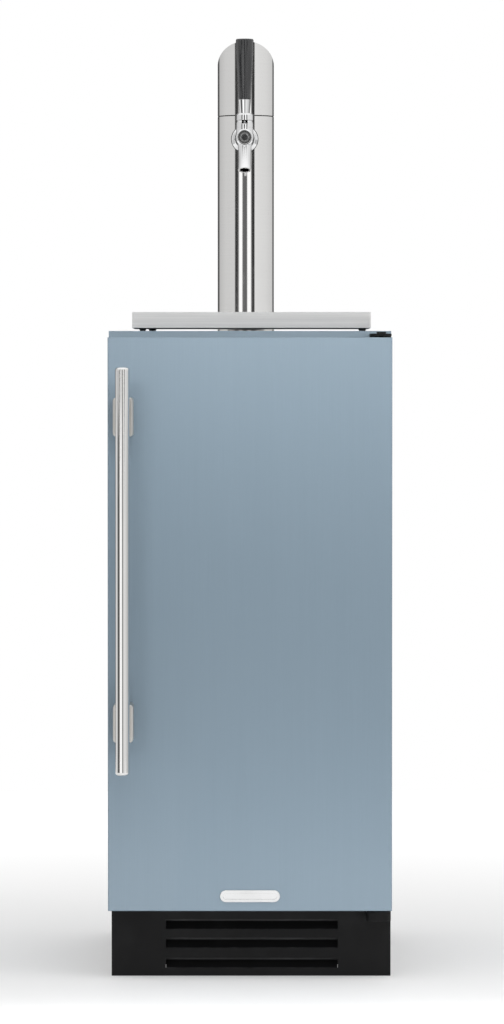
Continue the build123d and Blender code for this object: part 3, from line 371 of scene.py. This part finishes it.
BLACK, DARK = (0.012, 0.012, 0.0125), (0.05, 0.05, 0.052)
looks = {
    "door": satin_blue("door_satin_blue", 1.0),
    "cabinet": satin_blue("cabinet_satin_blue", 0.55),
    "tower": polished_steel("tower_polished", (14, 14, 1600), 0.045),
    "bar": polished_steel("handle_bar_polished", (500, 500, 9), 0.04),
    "across": brushed("steel_brushed_across", (10, 900, 1500), (0.93, 0.925, 0.915), 0.45),
    "upright": brushed("steel_brushed_upright", (1500, 1500, 10), (0.60, 0.585, 0.56), 0.3),
    "turned": brushed("steel_turned", (60, 60, 1500), (0.64, 0.635, 0.62), 0.22),
    "chrome": chrome("faucet_chrome"),
    "badge": chrome("badge_chrome", 0.08),
    "powder": black_powder("black_powder_coat"),
    "black": moulded("black_moulding", BLACK, DARK),
    "white": moulded("white_moulding", (0.74, 0.74, 0.72), (0.62, 0.62, 0.60), 0.36, 0.00002),
    "handle": gloss_phenolic("tap_handle_black"),
    "rubber": rubber("foot_rubber", (0.014, 0.014, 0.014), (0.05, 0.048, 0.045)),
    "gasket": rubber("gasket_grey", (0.10, 0.102, 0.106), (0.16, 0.16, 0.16)),
    "liner": liner_white("bay_liner_white"),
    "foam": foam("rigid_foam"),
    "zinc": galvanised("galvanised_sheet"),
    "fins": bare_aluminium("fin_aluminium", (40, 900, 900)),
    "cylinder": bare_aluminium("cylinder_aluminium", (30, 30, 1100)),
    "copper": yellow_metal("copper_tube", (0.78, 0.40, 0.24), (0.42, 0.20, 0.12)),
    "brass": yellow_metal("turned_brass", (0.74, 0.56, 0.28), (0.50, 0.36, 0.16)),
    "beer_hose": hose("clear_vinyl", (0.86, 0.88, 0.86), 0.55),
    "gas_hose": hose("red_vinyl", (0.42, 0.02, 0.015), 0.15),
    "dial": enamel("dial_enamel"),
    "lens": clear_face("gauge_lens", (0.95, 0.96, 0.96), 0.03, 70.0, 0.06,
                       Transmission_Weight=1.0, IOR=1.3),
    "ink": mottled("dial_ink", (0.02, 0.02, 0.02), 0.5, (300.0,), (0.03, 0.03, 0.03), 0.5),
    "needle": mottled("needle_red", (0.45, 0.03, 0.02), 0.4, (300.0,), (0.38, 0.025, 0.02), 0.5),
    "display": clear_face("display_window", (0.008, 0.008, 0.009), 0.08, 80.0, 0.1,
                          Coat_Weight=0.4),
    "digit": mottled("lit_digits", (0.2, 0.5, 0.7), 0.4, (200.0,), (0.18, 0.45, 0.65), 0.4,
                     Emission_Strength=1.4, Emission_Color=(0.35, 0.75, 1.0, 1)),
    "diffuser": mottled("lamp_diffuser", (0.85, 0.86, 0.86), 0.4, (1.0, (900, 60, 60)),
                        (0.8, 0.81, 0.82), 0.6, Emission_Strength=0.6,
                        Emission_Color=(1.0, 0.98, 0.94, 1)),
}

WEARS = {
    "door": ["door_skin"],
    "cabinet": ["side_panels", "face_frame", "top_panel"],
    "tower": ["tower_column", "tower_cap"],
    "bar": ["door_handle_bar"],
    "across": ["drip_tray", "drip_grille"],
    "upright": ["door_handle_posts"],
    "turned": ["keg_coupler"],
    "chrome": ["faucet_shank", "shank_collar", "coupling_nut", "faucet_body", "faucet_bonnet",
               "faucet_lever", "tower_bolts", "gas_shutoff_lever"],
    "badge": ["door_badge"],
    "powder": ["base_pan", "toe_kick_grille", "door_hinges", "compressor"],
    "black": ["rear_feet", "levelling_foot_left", "levelling_foot_right", "fan_motors",
              "condenser_fan_blades", "evaporator_fan_blades", "mains_inlet", "control_box",
              "cylinder_handwheel", "regulator_knob", "coupler_lever"],
    "white": ["evaporator_cover", "button_colder", "button_warmer", "door_hinge_bushes",
              "faucet_plunger"],
    "handle": ["tap_handle"],
    "rubber": ["tray_feet"],
    "gasket": ["door_gasket"],
    "liner": ["bay_liner", "door_inner_panel"],
    "foam": ["insulation", "door_insulation"],
    "zinc": ["rear_panel", "bay_underpan", "condenser_fan_shroud", "rear_service_cover",
             "wall_brackets"],
    "fins": ["condenser", "evaporator_coil"],
    "cylinder": ["gas_cylinder"],
    "copper": ["refrigerant_pipes"],
    "brass": ["cylinder_valve", "gas_regulator"],
    "beer_hose": ["beer_line"],
    "gas_hose": ["gas_line"],
}
for look, names in WEARS.items():
    for name in names:
        data = nodes[name].data
        data.materials.clear()
        data.materials.append(looks[look])
assert sorted(n for names in WEARS.values() for n in names) == sorted(nodes)

# ------------------------------------------------------------------ added pieces
SHARP_EDGE = radians(32)
TURNING_STEPS, RING_STEPS, TUBE_STEPS = 48, 72, 12


def piece(name, mesh_maker, body, look, place=(0, 0, 0), axis=(0, 0, 1)):
    """Builds a piece about +Z at the origin, turns +Z to the axis and puts it in place."""
    work = bmesh.new()
    mesh_maker(work)
    turn_to = Vector((0, 0, 1)).rotation_difference(Vector(axis)).to_matrix().to_4x4()
    bmesh.ops.transform(work, matrix=Matrix.Translation(place) @ turn_to, verts=work.verts)
    bmesh.ops.remove_doubles(work, verts=work.verts, dist=1e-7)
    bmesh.ops.recalc_face_normals(work, faces=work.faces)
    mesh = bpy.data.meshes.new(name)
    work.to_mesh(mesh)
    work.free()
    thing = bpy.data.objects.new(name, mesh)
    scene.collection.objects.link(thing)
    mesh.materials.append(looks[look])
    for face in mesh.polygons:
        face.use_smooth = True
    mesh.set_sharp_from_angle(angle=SHARP_EDGE)
    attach(thing, body)


def bridge(work, here, there):
    """Faces between two rings of as many points."""
    for step in range(len(here)):
        after = (step + 1) % len(here)
        work.faces.new((here[step], here[after], there[after], there[step]))


def lathe(profile, hexagons=()):
    """A closed turning of (radius, height) pairs; the pairs listed in hexagons are six-sided."""
    def make(work):
        rings = []
        for index, (radius, height_at) in enumerate(profile):
            ring_verts = []
            for step in range(TURNING_STEPS):
                angle = 2 * pi * step / TURNING_STEPS
                r = radius
                if index in hexagons:
                    half_flat = pi / 6
                    r = radius * cos(half_flat) / cos((angle % (2 * half_flat)) - half_flat)
                ring_verts.append(work.verts.new((r * cos(angle), r * sin(angle), height_at)))
            rings.append(ring_verts)
        for low, high in zip(rings, rings[1:]):
            bridge(work, low, high)
        work.faces.new(list(reversed(rings[0])))
        work.faces.new(rings[-1])
    return make


def block_between(low, high, soft=0.0):
    """A box from one corner to the other, its edges rounded by soft."""
    def make(work):
        bmesh.ops.create_cube(work, size=1.0)
        for vert in work.verts:
            vert.co = [low[i] + (vert.co[i] + 0.5) * (high[i] - low[i]) for i in range(3)]
        if soft:
            bmesh.ops.bevel(work, geom=work.edges[:], offset=soft, segments=3,
                            affect="EDGES", profile=0.5)
    return make


def spun(maker, angle):
    """What maker builds, turned about Z."""
    def make(work):
        maker(work)
        bmesh.ops.rotate(work, matrix=Matrix.Rotation(angle, 3, "Z"), verts=work.verts)
    return make


def torus(major, minor):
    """A round ring about Z."""
    def make(work):
        rings = []
        for step in range(RING_STEPS):
            a = 2 * pi * step / RING_STEPS
            rings.append([work.verts.new(((major + minor * cos(t)) * cos(a),
                                          (major + minor * cos(t)) * sin(a), minor * sin(t)))
                          for t in (2 * pi * k / TUBE_STEPS for k in range(TUBE_STEPS))])
        for here, there in zip(rings, rings[1:] + rings[:1]):
            bridge(work, there, here)
    return make


def socket_screw(r):
    """A domed screw head of radius r with a six-sided socket."""
    return lathe(((r, 0), (r, 0.30 * r), (0.93 * r, 0.50 * r), (0.72 * r, 0.64 * r),
                  (0.52 * r, 0.68 * r), (0.46 * r, 0.66 * r), (0.45 * r, 0.30 * r)),
                 hexagons=(5, 6))


def middle(box, axis):
    return (box[0][axis] + box[1][axis]) / 2


FRONTWARD, REARWARD = (0, -1, 0), (0, 1, 0)

# tower: the seal in the cap's joint
column_low, column_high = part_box("tower_column")
tower_x = middle((column_low, column_high), 0)
tower_y = middle((column_low, column_high), 1)
tower_r = (column_high[0] - column_low[0]) / 2
JOINT_GAP = 0.0014
seam_z = column_high[2] + JOINT_GAP / 2
piece("tower_cap_seal", torus(tower_r - 0.0011, 0.00062), "tower_cap", "rubber",
      (tower_x, tower_y, seam_z))

# faucet: dark lock ring and socket plug on the nose, seals behind the nut and the collar
tap_x = middle(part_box("faucet_body"), 0)
NOSE_Y = -0.095                         # the barrel's front end; the spout reaches further
AXIS_Z = 1.1319                         # the shank's axis
piece("faucet_lock_ring", torus(0.0078, 0.00075), "cabinet", "rubber",
      (tap_x, NOSE_Y + 0.0003, AXIS_Z), FRONTWARD)
piece("faucet_nose_plug", lathe(((0.0041, 0), (0.0041, 0.0012), (0.0036, 0.0016),
                                 (0.0021, 0.0016), (0.0020, 0.0006)), hexagons=(3, 4)),
      "cabinet", "black", (tap_x, NOSE_Y + 0.0024, AXIS_Z), FRONTWARD)
nut_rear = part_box("coupling_nut")[1][1]
piece("faucet_nut_seal", torus(0.0138, 0.0006), "cabinet", "rubber",
      (tap_x, nut_rear + 0.0001, AXIS_Z), FRONTWARD)
collar_low, collar_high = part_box("shank_collar")
collar_r = (collar_high[0] - collar_low[0]) / 2
piece("shank_collar_seal", torus(collar_r + 0.0001, 0.0007), "cabinet", "rubber",
      (tap_x, collar_low[1] + 0.0040, AXIS_Z), FRONTWARD)

# toe kick: the dust filter behind the louvres, ribbed
FILTER_X = (-0.118, 0.123)
FILTER_Y = -0.1885
FILTER_Z = (0.020, 0.0925)
RIBS, RIB_PITCH, RIB_HIGH = 7, 0.0105, 0.0012
piece("toe_kick_filter",
      block_between((FILTER_X[0], FILTER_Y, FILTER_Z[0]),
                    (FILTER_X[1], FILTER_Y + 0.0020, FILTER_Z[1]), 0.0006), "cabinet", "black")
for index in range(RIBS):
    z = FILTER_Z[0] + 0.006 + index * RIB_PITCH
    piece(f"filter_rib_{index}",
          block_between((FILTER_X[0] + 0.001, FILTER_Y - 0.0005, z),
                        (FILTER_X[1] - 0.001, FILTER_Y + 0.0002, z + RIB_HIGH), 0.0002),
          "cabinet", "black")

# rear: screws of the service cover and the rear panel
cover_low, cover_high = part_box("rear_service_cover")
panel_low, panel_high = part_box("rear_panel")
SCREW_R = 0.0036
SCREW_IN = 0.010
SCREW_ROWS = 4
rear_y = min(cover_high[1], panel_high[1]) - 0.0024
for row, z in enumerate((cover_low[2] + SCREW_IN, cover_high[2] - SCREW_IN)):
    for column, x in enumerate((cover_low[0] + SCREW_IN, 0.0, cover_high[0] - SCREW_IN)):
        piece(f"cover_screw_{row}{column}", socket_screw(SCREW_R), "cabinet", "zinc",
              (x, rear_y, z), REARWARD)
screw_pitch = (panel_high[2] - panel_low[2] - 2 * SCREW_IN) / (SCREW_ROWS - 1)
for row in range(SCREW_ROWS):
    for column, x in enumerate((panel_low[0] + SCREW_IN, panel_high[0] - SCREW_IN)):
        z = panel_low[2] + SCREW_IN + row * screw_pitch
        piece(f"panel_screw_{row}{column}", socket_screw(SCREW_R), "cabinet", "zinc",
              (x, rear_y, z), REARWARD)

# bay: evaporator cover's screws, lamp, control display
EVAP_SCREW_IN = 0.012
evap_low, evap_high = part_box("evaporator_cover")
evap_corners = [(x, z) for z in (evap_low[2] + EVAP_SCREW_IN, evap_high[2] - EVAP_SCREW_IN)
                for x in (evap_low[0] + EVAP_SCREW_IN, evap_high[0] - EVAP_SCREW_IN)]
for index, (x, z) in enumerate(evap_corners):
    piece(f"evaporator_screw_{index}", socket_screw(0.0032), "cabinet", "zinc",
          (x, evap_low[1] + 0.0002, z), FRONTWARD)
LAMP_LOW, LAMP_HIGH = (-0.128, -0.200, 0.8195), (-0.028, -0.172, 0.8258)
DIFFUSER_LOW, DIFFUSER_HIGH = (-0.124, -0.197, 0.8160), (-0.032, -0.175, 0.8200)
piece("bay_lamp_housing", block_between(LAMP_LOW, LAMP_HIGH, 0.002), "cabinet", "white")
piece("bay_lamp_diffuser", block_between(DIFFUSER_LOW, DIFFUSER_HIGH, 0.0015), "cabinet",
      "diffuser")
WINDOW_X, WINDOW_Z = (0.0465, 0.0835), (0.8035, 0.8185)
window_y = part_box("control_box")[0][1] + 0.0012
piece("control_window",
      block_between((WINDOW_X[0], window_y - 0.0008, WINDOW_Z[0]),
                    (WINDOW_X[1], window_y, WINDOW_Z[1]), 0.0003), "cabinet", "display")
# Two seven-bar figures.  Each bar has its place across and up the figure, and lies level or not.
SEGMENTS = {"3": "abcdg", "8": "abcdefg"}
STROKES = {"a": (0.5, 1.0, True), "b": (1.0, 0.75, False), "c": (1.0, 0.25, False),
           "d": (0.5, 0.0, True), "e": (0.0, 0.25, False), "f": (0.0, 0.75, False),
           "g": (0.5, 0.5, True)}
DIGIT_WIDE, DIGIT_HIGH, DIGIT_LOW, STROKE = 0.0046, 0.0092, 0.8064, 0.0007
FIGURES = (("3", 0.0585), ("8", 0.0665))
for index, (figure, left) in enumerate(FIGURES):
    for bar in SEGMENTS[figure]:
        across, up, level = STROKES[bar]
        mid = Vector((left + across * DIGIT_WIDE, window_y - 0.0009, DIGIT_LOW + up * DIGIT_HIGH))
        reach_x = DIGIT_WIDE / 2 - STROKE if level else STROKE / 2
        reach_z = STROKE / 2 if level else DIGIT_HIGH / 4 - STROKE / 2
        piece(f"display_bar_{index}{bar}",
              block_between((mid.x - reach_x, mid.y - 0.0001, mid.z - reach_z),
                            (mid.x + reach_x, mid.y + 0.0001, mid.z + reach_z)),
              "cabinet", "digit")

# regulator: dials under a lens, with ticks and a needle
GAUGE_R = 0.020
GAUGE_Y = 0.160
SIDE_GAUGE_Z = 0.733
TICKS, TICK_STEP, FIRST_TICK = 11, 27, 225
LONG_TICK, SHORT_TICK, TICK_END = 0.56 * GAUGE_R, 0.66 * GAUGE_R, 0.78 * GAUGE_R
regulator_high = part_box("gas_regulator")[1]
gauges = ((regulator_high[0] - GAUGE_R, SIDE_GAUGE_Z, 120),
          (0.0, regulator_high[2] - GAUGE_R, 80))
for index, (x, z, reading) in enumerate(gauges):
    front = (x, GAUGE_Y, z)
    piece(f"gauge_{index}_bezel",
          lathe(((GAUGE_R - 0.0002, 0), (GAUGE_R - 0.0002, 0.0028), (GAUGE_R - 0.0012, 0.0038),
                 (GAUGE_R - 0.0026, 0.0036), (GAUGE_R - 0.0030, 0.0010))),
          "cabinet", "chrome", front, FRONTWARD)
    piece(f"gauge_{index}_dial", lathe(((GAUGE_R - 0.0032, 0.0009), (GAUGE_R - 0.0032, 0.0014))),
          "cabinet", "dial", front, FRONTWARD)
    for tick in range(TICKS):
        inner = LONG_TICK if tick % 5 == 0 else SHORT_TICK
        mark = block_between((inner, -0.00025, 0.0014), (TICK_END, 0.00025, 0.0016))
        piece(f"gauge_{index}_tick_{tick}", spun(mark, radians(FIRST_TICK - TICK_STEP * tick)),
              "cabinet", "ink", front, FRONTWARD)
    pointer = block_between((-0.003, -0.0003, 0.0018), (0.0125, 0.0003, 0.0021))
    piece(f"gauge_{index}_needle", spun(pointer, radians(reading)), "cabinet", "needle",
          front, FRONTWARD)
    piece(f"gauge_{index}_hub", lathe(((0.0016, 0.0016), (0.0016, 0.0024), (0.0008, 0.0027))),
          "cabinet", "black", front, FRONTWARD)
    piece(f"gauge_{index}_lens",
          lathe(((GAUGE_R - 0.0029, 0.0028), (GAUGE_R - 0.0029, 0.0034), (0.010, 0.0040),
                 (0.003, 0.0042))), "cabinet", "lens", front, FRONTWARD)

# door: bellows of the gasket, two soft ribs all the way round
gasket_low, gasket_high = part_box("door_gasket")
RIB_R, RIB_CORNER = 0.0012, 0.010
RIB_SIDES, CORNER_STEPS = 10, 6
RIB_INSETS = (0.0035, 0.0125)


def ring_rib(inset):
    """A closed round rib along a rounded rectangle in the plane of the door."""
    x0, x1 = gasket_low[0] + inset + RIB_CORNER, gasket_high[0] - inset - RIB_CORNER
    z0, z1 = gasket_low[2] + inset + RIB_CORNER, gasket_high[2] - inset - RIB_CORNER

    def make(work):
        rings = []
        for x, z, start in ((x1, z1, 0), (x0, z1, 90), (x0, z0, 180), (x1, z0, 270)):
            for step in range(CORNER_STEPS + 1):
                a = radians(start + 90 * step / CORNER_STEPS)
                outward = Vector((cos(a), 0, sin(a)))
                point = Vector((x, 0, z)) + outward * RIB_CORNER
                rings.append([work.verts.new(point + outward * RIB_R * cos(t)
                                             + Vector((0, RIB_R * sin(t), 0)))
                              for t in (2 * pi * k / RIB_SIDES for k in range(RIB_SIDES))])
        for here, there in zip(rings, rings[1:] + rings[:1]):
            bridge(work, here, there)
    return make


for index, inset in enumerate(RIB_INSETS):
    piece(f"gasket_rib_{index}", ring_rib(inset), "door", "gasket",
          (0, gasket_high[1] - RIB_R, 0))

# ------------------------------------------------------------------ stage and light
FLOOR_SIDE = 5.6
edge = FLOOR_SIDE / 2
floor_mesh = bpy.data.meshes.new("floor")
floor_mesh.from_pydata([(-edge, -edge, 0), (edge, -edge, 0), (edge, edge, 0), (-edge, edge, 0)],
                       [], [(0, 1, 2, 3)])
floor = bpy.data.objects.new("floor", floor_mesh)
scene.collection.objects.link(floor)
# Its glow rises with the distance from the object, so that the far floor is white.
floor_look = Surface("studio_floor", (0.88, 0.88, 0.88), 0.6, Emission_Strength=1.0)
floor_look.paint(floor_look.noise(3.0), (0.86, 0.86, 0.86), 0.5)
reach = floor_look.add("ShaderNodeVectorMath", operation="LENGTH")
floor_look.join(floor_look.where, reach.inputs[0])
far = floor_look.spread(reach.outputs["Value"], 0.25, 1.9, 0.32, 1.0)
floor_look.paint(far, (0.0, 0.0, 0.0))
glow = floor_look.add("ShaderNodeCombineColor")
for channel in glow.inputs:
    floor_look.join(far, channel)
floor_look.join(glow.outputs[0], floor_look.shader.inputs["Emission Color"])
floor_mesh.materials.append(floor_look.done())


def softbox(name, place, target, size, power):
    """An area light aimed at the target: size in metres, power in watts.  No ray shows it."""
    data = bpy.data.lights.new(name, "AREA")
    data.shape = "RECTANGLE"
    data.size, data.size_y = size
    data.energy = power
    lamp = bpy.data.objects.new(name, data)
    lamp.location = place
    aim = Vector(target) - Vector(place)
    lamp.rotation_euler = aim.to_track_quat("-Z", "Y").to_euler()
    lamp.visible_camera = False
    lamp.visible_glossy = False
    scene.collection.objects.link(lamp)


softbox("high_front", (0.25, -1.9, 2.3), (0.05, -0.2, 1.0), (1.4, 0.8), 8)
softbox("door_top", (0.12, -0.72, 1.00), (0.12, -0.27, 0.93), (1.1, 0.10), 4.6)
softbox("door_foot", (0.12, -0.72, 0.06), (0.12, -0.27, 0.08), (1.1, 0.08), 2.7)
softbox("right_side", (2.4, -1.6, 1.2), (0.0, 0.0, 0.6), (0.8, 1.8), 12)
softbox("left_side", (-2.6, -1.0, 1.2), (0.0, 0.0, 0.6), (0.8, 1.8), 4.6)
softbox("back_top", (0.3, 2.6, 2.6), (0.0, 0.2, 0.7), (1.8, 1.2), 22)

# The studio around the object as mirrors see it: light walls, a dim camera side with a bright
# card each side of it and a dark flag beyond, dark behind.  Angles are in degrees from the
# front, positive to the right.
STUDIO = ((-180, 0.10), (-143, 0.10), (-134, 0.60), (-90, 0.74), (-49, 0.76), (-45.5, 0.66),
          (-43.5, 0.05), (-34, 0.05), (-30, 0.28), (-26, 1.25), (-15.5, 1.25), (-12.5, 0.17),
          (4.5, 0.15), (7.5, 1.25), (20, 1.25), (23, 0.32), (26.5, 0.05), (35.5, 0.03),
          (37.5, 0.92), (50, 0.88), (90, 0.84), (137, 0.72), (147, 0.10), (180, 0.10))
# Below eye level the cards stand wider apart, as the door's handle mirrors them.
STUDIO_LOW = ((-180, 0.15), (-150, 0.15), (-118, 0.95), (-92, 0.75), (-76, 0.10), (-56, 0.07),
              (-47, 0.35), (-39, 1.25), (-11, 1.20), (-4, 0.20), (5, 0.25), (13, 0.75),
              (34, 0.92), (60, 0.75), (86, 0.60), (104, 0.35), (130, 0.20), (180, 0.15))
ZENITH = 1.15
world = bpy.data.worlds.new("studio")
world.use_nodes = True
scene.world = world
tree = world.node_tree
background = tree.nodes["Background"]


def world_node(kind, **settings):
    node = tree.nodes.new(kind)
    for key, value in settings.items():
        setattr(node, key, value)
    return node


def world_math(operation, *values):
    node = world_node("ShaderNodeMath", operation=operation)
    for socket, given in zip(node.inputs, values):
        if isinstance(given, (int, float)):
            socket.default_value = given
        else:
            tree.links.new(given, socket)
    return node.outputs[0]


direction = world_node("ShaderNodeSeparateXYZ")
tree.links.new(world_node("ShaderNodeTexCoord").outputs["Generated"], direction.inputs[0])
toward = world_math("MULTIPLY", direction.outputs["Y"], -1)
azimuth = world_math("ARCTAN2", direction.outputs["X"], toward)
# The azimuth as a share of a full turn, straight ahead at one half.
turn = world_math("MULTIPLY_ADD", azimuth, 1 / (2 * pi), 0.5)


def studio_ring(levels):
    """A ramp of brightness round the horizon."""
    ring = world_node("ShaderNodeValToRGB")
    tree.links.new(turn, ring.inputs["Fac"])
    stops = ring.color_ramp.elements
    stops.remove(stops[1])
    for index, (angle, level) in enumerate(levels):
        place = angle / 360 + 0.5
        stop = stops[0] if index == 0 else stops.new(place)
        stop.position = place
        stop.color = (level, level, level, 1)
    return ring.outputs["Color"]


def world_step(source, low, high):
    """Rises smoothly from 0 to 1 while the source goes from low to high."""
    node = world_node("ShaderNodeMapRange", interpolation_type="SMOOTHSTEP")
    node.inputs["From Min"].default_value = low
    node.inputs["From Max"].default_value = high
    tree.links.new(source, node.inputs["Value"])
    return node.outputs["Result"]


def world_mix(factor, first, second, **settings):
    """first where the factor is 0 and second where it is 1; second may be a level of grey."""
    node = world_node("ShaderNodeMix", data_type="RGBA", **settings)
    tree.links.new(factor, node.inputs["Factor"])
    tree.links.new(first, node.inputs["A"])
    if isinstance(second, float):
        node.inputs["B"].default_value = (second, second, second, 1)
    else:
        tree.links.new(second, node.inputs["B"])
    return node.outputs["Result"]


# Matt surfaces are lit by half of what mirrors show, and the camera itself sees plain white.
EYE_LEVEL, OVERHEAD = (-0.012, 0.0), (0.35, 0.85)
MATT_SHARE = 0.5
upward = direction.outputs["Z"]
rays = world_node("ShaderNodeLightPath")
around = world_mix(world_step(upward, *EYE_LEVEL), studio_ring(STUDIO_LOW), studio_ring(STUDIO))
sky = world_mix(world_step(upward, *OVERHEAD), around, ZENITH)
dim = world_mix(rays.outputs["Is Diffuse Ray"], sky, MATT_SHARE, blend_type="MULTIPLY")
seen = world_mix(rays.outputs["Is Camera Ray"], dim, 1.0)
tree.links.new(seen, background.inputs["Color"])
background.inputs["Strength"].default_value = 1.0
scene.view_settings.view_transform = "Standard"
